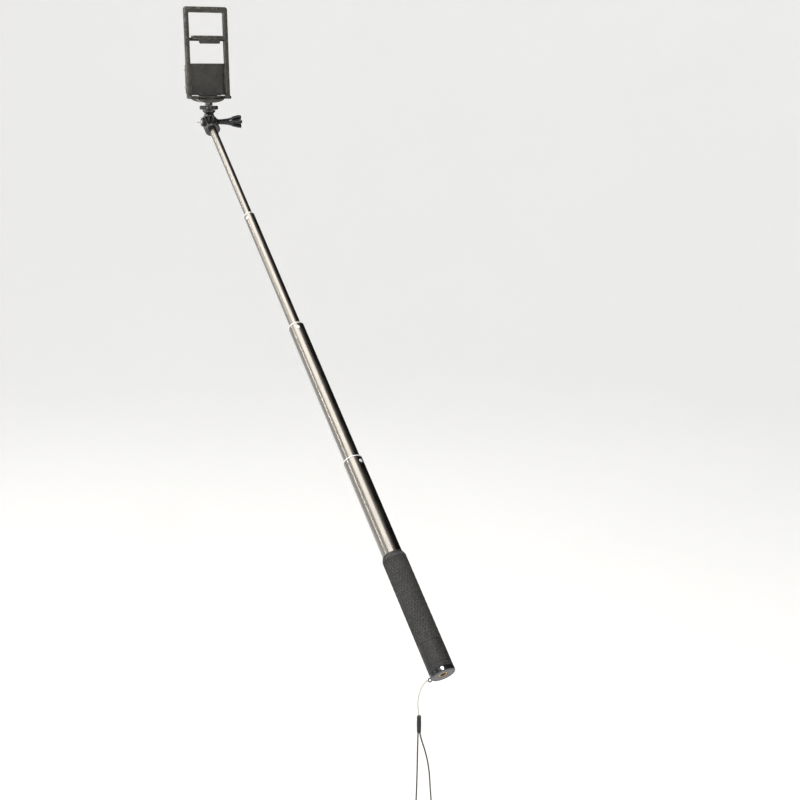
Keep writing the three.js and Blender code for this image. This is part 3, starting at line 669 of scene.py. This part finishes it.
n = insert
line = [[n["outer"], n["low"]], [n["outer"], n["high"]], [n["bore"], n["high"]], [n["bore"], n["low"]]]
grid = turned(line, 0.2, 48, loop=True, shape=insertThread, fine=0.16)
makePiece("tripodInsert", [grid], onPole, "handle", brassMetal, "tripod_insert")

print("grip and cap made")


# ---------- tubes, rims and rivets ----------

tubes = [
    {"name": "handleTube", "node": "handle_tube", "body": "handle", "radius": 10.6,
     "low": 4.6, "mouth": 257.0, "rivet": -68.0},
    {"name": "secondTube", "node": "tube_2", "body": "section_2", "radius": 9.1,
     "low": 223.0, "mouth": 450.0, "rivet": -103.0},
    {"name": "thirdTube", "node": "tube_3", "body": "section_3", "radius": 6.6,
     "low": 428.0, "mouth": 635.0, "rivet": -144.0},
    {"name": "topTube", "node": "tube_4", "body": "section_4", "radius": 4.9,
     "low": 619.0, "mouth": 794.7, "rivet": None},
]
rim = {"tall": 1.5, "gap": 0.3, "proud": 0.4, "rivetBelow": 8.0, "head": 2.1, "rise": 0.6, "shank": 1.3}


def makeTube(tube):
    outer, inner = tube["radius"], tube["radius"] - stick["wall"]
    top = tube["mouth"] - rim["tall"] - rim["gap"] if tube["rivet"] else tube["mouth"]
    line = [[inner, tube["low"]], [outer, tube["low"]], [outer, top], [inner, top]]
    body = turned(line, 0.15, 96, loop=True)
    makePiece(tube["name"], [body], onPole, tube["body"], tubeMetal, tube["node"])


def makeMouth(tube, bore, k):
    # rolled rim: a rounded band a little proud of the tube, with a soft inner lip; and a domed rivet
    r, top, low, proud = tube["radius"], tube["mouth"], tube["mouth"] - rim["tall"], rim["proud"]
    line = [
        [bore, low], [r + 0.15, low], [r + proud, low + 0.35], [r + proud, top - 0.55],
        [r - 0.1, top], [bore + 0.35, top], [bore, top - 0.3],
    ]
    band = turned(line, 0.28, 96, loop=True)
    makePiece("rimRing%d" % k, [band], onPole, tube["body"], rimMetal, "rim_ring_%d" % k)
    start = r - stick["wall"] - stick["slideGap"] - 0.3
    skin = r + 0.12
    head = [
        [0, start], [rim["shank"], start], [rim["shank"], skin], [rim["head"], skin],
        [rim["head"] - 0.15, skin + 0.28], [rim["head"] * 0.55, skin + rim["rise"] * 0.92],
        [0, skin + rim["rise"]],
    ]
    place = lambda p: onPole(outward(p, tube["rivet"], top - rim["rivetBelow"]))
    dome = turned(head, 0.3, 40)
    makePiece("bushRivet%d" % k, [dome], place, tube["body"], rimMetal, "bush_rivet_%d" % k)


for tube in tubes:
    makeTube(tube)
for k in (1, 2, 3):
    makeMouth(tubes[k - 1], tubes[k]["radius"] + stick["slideGap"], k)
print("tubes and rims made")


# ---------- tilting head ----------

head = {
    "thick": 3.0, "pitch": 3.05, "radius": 7.5, "hole": 2.9,      # the prongs
    "disc": (795.0, 799.5, 10.0), "spigot": 3.9, "spigotLong": 14,  # low, high and radius; into tube 4
    "nutRadius": 4.25, "recess": 4.6, "boss": 5.6,
}


def constant(value):
    return lambda t: np.full_like(t, value)


def prongEdge(radius, foot, up):
    # round end of that radius, then straight sides down to a square foot: min(R/|cos t|, F/|sin t|)
    def outer(t):
        toFoot = np.sin(t) * (1 if up else -1)
        beside = np.maximum(np.abs(np.cos(t)), 1e-6)
        square = np.minimum(radius / beside, foot / np.maximum(toFoot, 1e-6))
        return np.where(toFoot > 0, square, radius)
    return outer


def hexagon(radius):
    # six flats: the distance is R cos 30 / cos(angle off the middle of the nearest flat)
    def outer(t):
        off = np.mod(t, tau / 6) - tau / 12
        return radius * math.cos(tau / 12) / np.cos(off)
    return outer


def crossParts(parts):
    return [(crossWise(grid), loop, edge, relief) for grid, loop, edge, relief in parts]


def prongs(places, foot, up):
    # flat prongs side by side along X, at whole numbers of the prongs' pitch
    half = head["thick"] / 2
    hole, edge = constant(head["hole"]), prongEdge(head["radius"], foot, up)
    return [ringPlate(hole, edge, k * head["pitch"] - half, k * head["pitch"] + half, 0.35) for k in places]


low, high, radius = head["disc"]
drop, spigot, root = stick["tiltHeight"], head["spigot"], low - head["spigotLong"]
disc = turned([
    [0, root], [spigot, root], [spigot, low - 0.6], [4.6, low], [radius - 1.5, low],
    [radius - 1.2, low], [radius - 0.6, low], [radius, low + 0.8], [radius, high - 1.2],
    [radius - 1.2, high], [0, high],
], 0.45, 96)
disc[0][..., 2] -= drop
side = -2 * head["pitch"]
boss = ringPlate(hexagon(head["recess"]), constant(head["boss"]), side - 4.3, side - 1.2, 0.5)
nut = ringPlate(constant(2.8), hexagon(head["nutRadius"]), side - 4.6, side - 2, 0.35, 72)
lift = lambda p: onPole(p + np.array([0, 0, drop]))
parts = [disc] + crossParts(prongs((-2, 0, 2), drop - high + 1, False) + [boss])
makePiece("threeProngMount", parts, lift, "section_4", headFinish, "three_prong_mount")
makePiece("captiveNut", crossParts([nut]), lift, "section_4", nutMetal, "captive_nut")

knob = {
    "start": 8.0, "skirt": 5.4, "neck": 3.3, "flare": 29.0, "low": 32.6, "high": 42.4,
    "radius": 9.2, "valley": 3.7, "lobes": 6, "softness": 2.6,
}
bolt = {"tip": -17.1, "point": 0.7, "nose": 0.85, "shoulder": -11.2, "radius": 2.5, "inKnob": 35.9}


def knobLobes(r, h, t):
    # beyond the flare the radius drops between the lobes by valley times a soft square wave of cos(lobes t)
    k = knob
    wave = 0.5 - 0.5 * np.tanh(k["softness"] * np.cos(k["lobes"] * t)) / math.tanh(k["softness"])
    rise = np.clip((h - k["flare"]) / (k["low"] - k["flare"] + 1.0), 0, 1)
    share = rise * np.clip((r - 4.2) / 3.5, 0, 1)
    return r - k["valley"] * wave * share, 1 - wave * share


k = knob
start, skirt, neck, low, high, r = (k[key] for key in ("start", "skirt", "neck", "low", "high", "radius"))
body = turned([
    [0, start], [skirt - 0.5, start], [skirt, start + 0.7], [skirt - 0.5, start + 1.7],
    [neck + 0.5, start + 2.9], [neck, start + 4.6], [neck + 0.1, 16], [neck + 0.5, 21],
    [neck + 1.1, 26], [neck + 1.9, k["flare"]], [6.0, low - 1.6], [7.0, low], [r, high - 0.9],
    [r - 0.5, high], [5.6, high], [5.0, high - 0.8], [0, high - 0.8],
], 0.9, 144, shape=knobLobes, fine=0.5)
makePiece("thumbKnob", crossParts([body]), onHead, "thumb_screw", glossFinish,
          "thumb_screw_knob")


b = bolt
tip, shoulder, r, nose = b["tip"], b["shoulder"], b["radius"], b["nose"]
line = [
    [0, tip], [b["point"], tip + 0.1], [1.1, tip + 0.7], [nose, tip + 1.4], [nose, shoulder - 0.4],
    [1.9, shoulder], [r, shoulder + 0.4], [r, b["inKnob"]], [0, b["inKnob"]],
]
threaded = screwThread(0.8, 0.22, lambda r, h: (h > tip + 1.5) & (h < 7.0))
body = turned(line, 0.2, 40, shape=threaded, fine=0.16)
makePiece("thumbBolt", crossParts([body]), onHead, "thumb_screw", steelMetal, "thumb_screw_bolt")

adapter = {"low": 8.6, "waist": 4.8, "high": 15.0, "top": 8.5, "well": 3.4}
stud = {"low": 10.8, "high": 29.5, "radius": 3.1, "pitch": 1.27, "thread": 0.3, "threadFrom": 15.0}
wheel = {"low": 15.3, "high": 20.9, "radius": 12.0, "bore": 3.5, "lobes": 16, "lobeDepth": 0.9}

a = adapter
low, waist, high, top = a["low"], a["waist"], a["high"], a["top"]
body = turned([
    [0, low], [waist, low], [waist + 0.6, low + 1.8], [top - 0.7, high - 2.0], [top, high - 0.9],
    [top - 0.2, high], [a["well"], high], [a["well"], high - 0.5], [0, high - 0.5],
], 0.5, 96)
parts = [body] + crossParts(prongs((-1, 1), low + 1.6, True))
makePiece("twoProngAdapter", parts, onHead, "tilt_head", headFinish, "two_prong_adapter")

low, high, r = stud["low"], stud["high"], stud["radius"]
where = lambda r, h: (h > stud["threadFrom"]) & (h < high - 0.5)
line = [[0, low], [r, low], [r, high - 0.6], [r - 0.6, high], [0, high]]
body = turned(line, 0.2, 40, shape=screwThread(stud["pitch"], stud["thread"], where), fine=0.2)
makePiece("tripodStud", [body], onHead, "tilt_head", steelMetal, "tripod_stud")


def wheelEdge(r, h, t):
    # round lobes on the rim: r loses depth (1 - cos(lobes t))/2, less near the bore
    share = np.clip((r - 7.0) / 3.0, 0, 1)
    wave = 0.5 - 0.5 * np.cos(wheel["lobes"] * t)
    return r - wheel["lobeDepth"] * wave * share, 1 - wave * share


low, high, r, bore = wheel["low"], wheel["high"], wheel["radius"], wheel["bore"]
disc = turned([
    [bore, low], [8.4, low], [8.8, low + 0.5], [r - 0.9, low + 0.5], [r, low + 1.4], [r, high - 1.2],
    [r - 1.1, high], [6.4, high], [6.0, high - 0.5], [5.2, high - 0.5], [5.0, high], [bore, high],
], 0.4, 192, loop=True, shape=wheelEdge)
makePiece("lockWheel", [disc], onHead, "lock_wheel", headFinish, "lock_wheel")

print("tilting head made")


# ---------- phone holder ----------

base = {
    "half": 18.5, "sternHalf": 21.5, "front": -11.5, "sternFront": 2.7, "back": 8.0,
    "low": 24.8, "high": 33.3, "keel": 6.0, "bilge": 29.6, "corner": 1.4, "webHalf": 12.0,
    "plateHalf": 28.8, "plateLow": 34.2, "plateHigh": 74.0, "plateFront": 2.6, "plateBack": 4.8,
    "ribHalf": 22.0, "ribs": (50.0, 54.0, 58.0, 62.0), "neckLow": 21.4, "neckHigh": 31.0,
}
loop = {
    "half": 29.0, "leg": 5.8, "low": 30.3, "high": 144.0, "bar": 7.4, "front": -4.0, "back": 2.3,
    "bendIn": 1.5, "bendOut": 3.5,
    "slot": (-2.2, 0.6, 3.4, 35.6, 132.0),     # front, back, depth, low, high
    "foot": (18.9, 27.6, -11.5, 29.5, 33.3),   # inner, outer, front, low, high
}
jaw = {
    "half": 22.0, "low": 103.6, "high": 108.2, "front": -14.6, "back": -4.4,
    "lipLow": 98.2, "lipHalf": 15.0, "lipBack": -13.2, "ear": 101.7, "earFront": -1.95, "earBack": 0.35,
    "tongueHalf": 20.0,
}
pads = {"ribHigh": 0.22, "ribCount": 6}
screws = {"x": 27.5, "heights": (44.0, 66.0), "shank": 1.1, "head": 2.6, "recess": 0.55}
springs = {"turns": 34, "low": 36.6, "high": 100.7, "coil": 0.88, "wire": 0.2, "x": 25.0, "y": -0.8}


def hullOutline(half):
    # bottom: from keel to side a quadratic curve through the bilge; sides and top straight, corners round
    b = base
    u = np.linspace(0, 1, 24)
    bottom = np.stack([
        (1 - u) ** 2 * b["keel"] + 2 * u * (1 - u) * (half - 3) + u ** 2 * half,
        (1 - u) ** 2 * b["low"] + 2 * u * (1 - u) * (b["low"] + 1) + u ** 2 * b["bilge"]], -1)
    a = np.linspace(0, math.pi / 2, 7)
    r = b["corner"]
    corner = np.stack([half - r + r * np.cos(a), b["high"] - r + r * np.sin(a)], -1)
    right = np.concatenate([bottom, corner])
    return np.concatenate([right, (right * [-1, 1])[::-1]])


def rectangle(half, low, high):
    return [[-half, low], [half, low], [half, high], [-half, high]]


b = base
skin = b["plateBack"]
hull = slab(hullOutline(b["half"]), b["front"], b["back"] - 1, 1.3, smooth=True)
stern = slab(hullOutline(b["sternHalf"]), b["sternFront"], b["back"], 0.9, smooth=True)
web = slab(rectangle(b["webHalf"], b["low"] + 3, b["plateLow"] + 2), 0.3, skin - 0.8, 0.4, 0.8)
plate = slab(rectangle(b["plateHalf"], b["plateLow"], b["plateHigh"]), b["plateFront"], skin, 0.5, 4.0)
ribs = [slab(rectangle(b["ribHalf"], z - 0.8, z + 0.8), skin - 0.4, skin + 0.55, 0.25, 0.5)
        for z in b["ribs"]]
parts = [hull, stern, web, plate] + ribs
makePiece("holderBase", parts, onHead, "phone_holder", frameFinish, "holder_base")

low, high = base["neckLow"], base["neckHigh"]
line = [
    [5.2, low], [5.5, low + 0.5], [4.6, low + 1.8], [5.4, low + 3.5], [4.3, low + 3.8],
    [4.3, high], [3.45, high], [3.45, low],
]
neck = turned(line, 0.3, 72, loop=True)
makePiece("baseInsert", [neck], onHead, "phone_holder", steelMetal, "base_insert")


def framePath():
    # inner and outer lines of the tall frame, foot to foot, point for point: sides straight, corners round
    f = loop
    a = np.linspace(0, math.pi / 2, 13)
    rise = np.linspace(0, 1, 80)[:, None]
    across = np.linspace(1, 0, 12)[1:, None]

    def line(x, top, bend):
        low, high, gap = np.array([x, f["low"]]), np.array([x, top]), bend + 0.1
        leg = low + rise * (high - [0, gap] - low)
        corner = np.stack([high[0] - bend + bend * np.cos(a), high[1] - bend + bend * np.sin(a)], -1)
        bar = np.array([0, high[1]]) + across * [high[0] - gap, 0]
        half = np.concatenate([leg, corner, bar])
        return np.concatenate([half, (half[:-1] * [-1, 1])[::-1]])
    inner = line(f["half"] - f["leg"], f["high"] - f["bar"], f["bendIn"])
    return inner, line(f["half"], f["high"], f["bendOut"])


# section between the two lines: a rounded box, with the jaw's channel pressed into its inner side
f = loop
inner, outer = framePath()
front, back, deep, low, high = f["slot"]
width = f["leg"]
box = [
    [0, f["front"]], [width, f["front"]], [width, f["back"]], [0, f["back"]],
    [0, back], [0.02, back - 0.02], [0.02, front + 0.02], [0, front],
]
line, edge = rounded(box, 2.0, True)
inSlot = (line[:, 1] < back) & (line[:, 1] > front) & (line[:, 0] < 0.5)
z = inner[:, 1]
onLeg = np.abs(inner[:, 0]) > f["half"] - width - 0.2
channel = np.clip((z - low) / 0.5, 0, 1) * np.clip((high - z) / 0.5, 0, 1) * onLeg
share = (line[None, :, 0] + inSlot[None] * channel[:, None] * deep) / width
flat = inner[:, None] + share[..., None] * (outer - inner)[:, None]
depth = np.broadcast_to(line[None, :, 1], flat.shape[:2])
grid = np.stack([flat[..., 0], depth, flat[..., 1]], -1)
near, far, toe, sole, top = f["foot"]
feet = [slab([[s * near, sole], [s * far, sole], [s * far, top], [s * near, top]], toe, f["back"], 0.6)
        for s in (-1, 1)]
parts = [(grid, False, edge[None, :], None)] + feet
makePiece("holderFrame", parts, onHead, "phone_holder", frameFinish, "holder_loop")

j = jaw
half, low, high, lip = j["half"], j["low"], j["high"], j["lipHalf"]
reach = loop["half"] - loop["leg"] + loop["slot"][2] - 0.3
bar = slab([
    [1.4 - half, low], [half - 1.4, low], [half, high - 1.6],
    [half - 1.2, high], [1.2 - half, high], [-half, high - 1.6],
], j["front"], j["back"], 1.0, 1.4)
tongue = slab(rectangle(j["tongueHalf"], low, high - 2.5), j["back"] - 1.4, j["earBack"], 0.3, 0.5)
lipSlab = slab([
    [1.5 - lip, j["lipLow"]], [lip - 1.5, j["lipLow"]], [lip, low + 1.5], [-lip, low + 1.5],
], j["front"], j["lipBack"], 0.5, 1.6)
ears = slab(rectangle(reach, j["ear"], high - 2.5), j["earFront"], j["earBack"], 0.3, 0.5)
parts = [bar, tongue, lipSlab, ears]
makePiece("upperJaw", parts, onHead, "jaw", frameFinish, "upper_jaw")


def ribbedPad(half, front, back, low, high, up):
    # rubber pad: its outline across is a rounded box whose pressing face rises and falls as cos of the depth
    tall = pads["ribHigh"]
    y = np.linspace(front + 0.25, back - 0.25, 60)
    ribs = tall * (0.5 - 0.5 * np.cos((y - y[0]) / (y[-1] - y[0]) * tau * pads["ribCount"]))
    face = high - ribs if up else low + ribs
    other = np.full(4, low if up else high)
    line = np.concatenate([np.stack([y, face], -1), np.stack([np.linspace(back, front, 4), other], -1)])
    x = np.array([-half, -half + 0.05, -half + 0.3, half - 0.3, half - 0.05, half])
    centre = np.array([(front + back) / 2, (low + high) / 2])
    narrower = np.array([0.82, 0.94, 1, 1, 0.94, 0.82])
    flat = centre + (line[None] - centre) * narrower[:, None, None]
    grid = np.stack([np.broadcast_to(x[:, None], flat.shape[:2]), flat[..., 0], flat[..., 1]], -1)
    lift = np.concatenate([1 - ribs / tall, np.full(4, 0.8)])
    return grid, False, None, np.broadcast_to(lift, flat.shape[:2])


lower = ribbedPad(14.0, base["front"] + 0.3, -0.2, 33.9, 35.1, True)
upper = ribbedPad(19.5, -12.9, -2.6, 102.1, 103.3, False)
makePiece("lowerPad", [lower], onHead, "phone_holder", padFinish, "lower_pad")
makePiece("upperPad", [upper], onHead, "jaw", padFinish, "upper_pad")


def makeScrew(x, z, k):
    # domed head with a cross recess: height falls where min(|x|,|y|) < 0.32 and the radius < 1.45
    s = screws
    skin, shank, wide = base["plateBack"] + 0.12, s["shank"], s["head"]
    rings = np.linspace(2.3, 0.06, 30)
    r = np.concatenate([[shank, shank, wide - 0.15, wide, wide - 0.05, wide - 0.2], rings])
    dome = skin + 0.25 + 0.8 * np.sqrt(np.clip(1 - (rings / 2.75) ** 2, 0, 1))
    h = np.concatenate([[0.2, skin, skin, skin + 0.1, skin + 0.45, skin + 0.62], dome])
    t = np.arange(64) * tau / 64
    across, up = r[:, None] * np.cos(t), r[:, None] * np.sin(t)
    arm = np.clip((0.42 - np.minimum(np.abs(across), np.abs(up))) / 0.12, 0, 1)
    cross = arm * np.clip((1.5 - r[:, None]) / 0.12, 0, 1)
    height = h[:, None] - s["recess"] * cross * (np.arange(len(r)) > 5)[:, None]
    parts = [(np.stack([across + x, height, up + z], -1), False, None, 1 - 0.6 * cross)]
    name = "plateScrew%d" % k
    makePiece(name, parts, onHead, "phone_holder", steelMetal, "plate_screw_%d" % k)


def makeSpring(side, name, node):
    # helix (R cos u, R sin u, pitch u), close wound at both ends
    s = springs
    x, y, low, high = side * s["x"], s["y"], s["low"], s["high"]
    u = np.linspace(0, 1, s["turns"] * 18)
    rise = u - 0.035 * np.sin(tau * u)
    angle = s["turns"] * tau * u
    centre = np.stack([np.full_like(u, x), np.full_like(u, y), low + (high - low) * rise], -1)
    out = np.stack([np.cos(angle), np.sin(angle), 0 * angle], -1)
    grid = sweep(centre + s["coil"] * out, out, s["wire"], 8)
    piece = makePiece(name, [grid], onHead, None, steelMetal, node)
    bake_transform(piece)


screwPlaces = [(side * screws["x"], z) for side in (-1, 1) for z in screws["heights"]]
for k, (x, z) in enumerate(screwPlaces, 1):
    makeScrew(x, z, k)
makeSpring(-1, "jawSpringLeft", "jaw_spring_left")
makeSpring(1, "jawSpringRight", "jaw_spring_right")
print("phone holder made")


# ---------- pieces that stay as they are, out of sight ----------

for finish, nodes in (
    (nylonFinish, ("guide_bush_1", "guide_bush_2", "guide_bush_3", "expander_2", "expander_3", "expander_4")),
    (plasticFinish, ("lock_screw_2", "lock_screw_3", "lock_screw_4")),
    (steelMetal, ("mount_pin",)),
):
    for node in nodes:
        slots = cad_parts[node].data.materials
        slots.clear()
        slots.append(finish)


# ---------- floor and light ----------

stage = {"height": -0.55, "flat": 3.2, "curve": 2.0, "wall": 3.0, "sides": 96, "glow": 0.20, "sky": 0.30}
middle = (0, 0.25, 0.2)
poleWay = (0, sinLean, cosLean)
# name, place, wide, tall, power, tone, and the way its tall side lies
lights = [
    ("ceilingLight", (-0.95, 0.35, 2.5), 2.1, 2.6, 62, (1, 0.975, 0.93), (0, 1, 0)),
    ("stripLight", (-1.15, 0.62, 0.52), 0.035, 2.4, 6.0, (1, 0.98, 0.96), poleWay),
    ("glintLight", (-0.35, -1.25, 2.2), 0.22, 0.22, 13, (1, 0.98, 0.95), (0, 0, 1)),
    ("frontLight", (-0.9, -2.3, 1.1), 1.2, 1.0, 7, (1, 0.99, 0.97), (0, 0, 1)),
]
darkCard = [(0.95, -1.2, -0.5), (0.95, 3.0, -0.5), (0.95, 3.0, 2.1), (0.95, -1.2, 2.1)]


def addStaged(name, verts, faces, material):
    # a piece of the studio, which is not part of the object
    mesh = bpy.data.meshes.new(name)
    mesh.from_pydata(verts, [], faces)
    mesh.materials.append(material)
    thing = bpy.data.objects.new(name, mesh)
    bpy.context.scene.collection.objects.link(thing)
    return thing


def mottled(name, scale, first, second, **constants):
    material, tree, shader, where, edge, relief = startMaterial(name, **constants)
    colour = blendColour(tree, noise(tree, where, scale), first, second)
    link(colour, shader.inputs["Base Color"])
    return material


def makeStage():
    # bowl: flat floor, then a quarter circle up to an upright wall, turned about Z
    s = stage
    n = s["sides"]
    a = np.linspace(0, math.pi / 2, 16)[1:]
    reach = s["flat"] + s["curve"]
    r = np.concatenate([np.linspace(0.01, s["flat"], 12), s["flat"] + s["curve"] * np.sin(a), [reach]])
    h = np.concatenate([np.zeros(12), s["curve"] * (1 - np.cos(a)), [s["curve"] + s["wall"]]]) + s["height"]
    r, h, t = np.broadcast_arrays(r[:, None], h[:, None], np.arange(n) * tau / n)
    verts = np.stack([r * np.cos(t), r * np.sin(t), h], -1)
    index = np.arange(len(r) * n).reshape(-1, n)
    near, far = index[:-1], index[1:]
    quads = np.stack([near, np.roll(near, -1, 1), np.roll(far, -1, 1), far], -1).reshape(-1, 4)
    pale = mottled(
        "paleFloor", 1.5, (0.84, 0.84, 0.83), (0.88, 0.878, 0.87),
        Roughness=0.9, Emission_Color=(1, 1, 1, 1), Emission_Strength=s["glow"])
    faces = quads.tolist() + [index[0][::-1].tolist()]
    floor = addStaged("floor", verts.reshape(-1, 3).tolist(), faces, pale)
    floor.data.polygons.foreach_set("use_smooth", np.ones(len(faces), bool))


def addDarkCard():
    # a black card that only reflections see: it gives the round metal its dark side
    dull = mottled(
        "darkCard", 2.0, (0.004, 0.004, 0.004), (0.008, 0.008, 0.008), Roughness=1.0, Specular_IOR_Level=0.0)
    card = addStaged("darkCard", darkCard, [(0, 1, 2, 3)], dull)
    card.visible_camera = card.visible_diffuse = card.visible_shadow = False


def addLight(name, place, wide, tall, power, tone, along):
    # an area light that faces the middle, its tall side lying along the given direction
    light = bpy.data.objects.new(name, bpy.data.lights.new(name, "AREA"))
    light.data.shape, light.data.size, light.data.size_y = "RECTANGLE", wide, tall
    light.data.energy, light.data.color = power, tone
    back = np.array(place, float) - np.array(middle, float)
    back /= np.linalg.norm(back)
    up = np.array(along, float) - back * np.dot(along, back)
    up /= np.linalg.norm(up)
    light.matrix_world = Matrix(np.column_stack([np.cross(up, back), up, back]).tolist()).to_4x4()
    light.location = place
    bpy.context.scene.collection.objects.link(light)


def addWorld():
    world = bpy.data.worlds.new("room")
    world.use_nodes = True
    sky = world.node_tree.nodes["Background"]
    sky.inputs["Color"].default_value = (0.85, 0.87, 0.90, 1)
    sky.inputs["Strength"].default_value = stage["sky"]
    bpy.context.scene.world = world
    bpy.context.scene.view_settings.view_transform = "Standard"


makeStage()
addWorld()
for light in lights:
    addLight(*light)
addDarkCard()
print("stage lit")
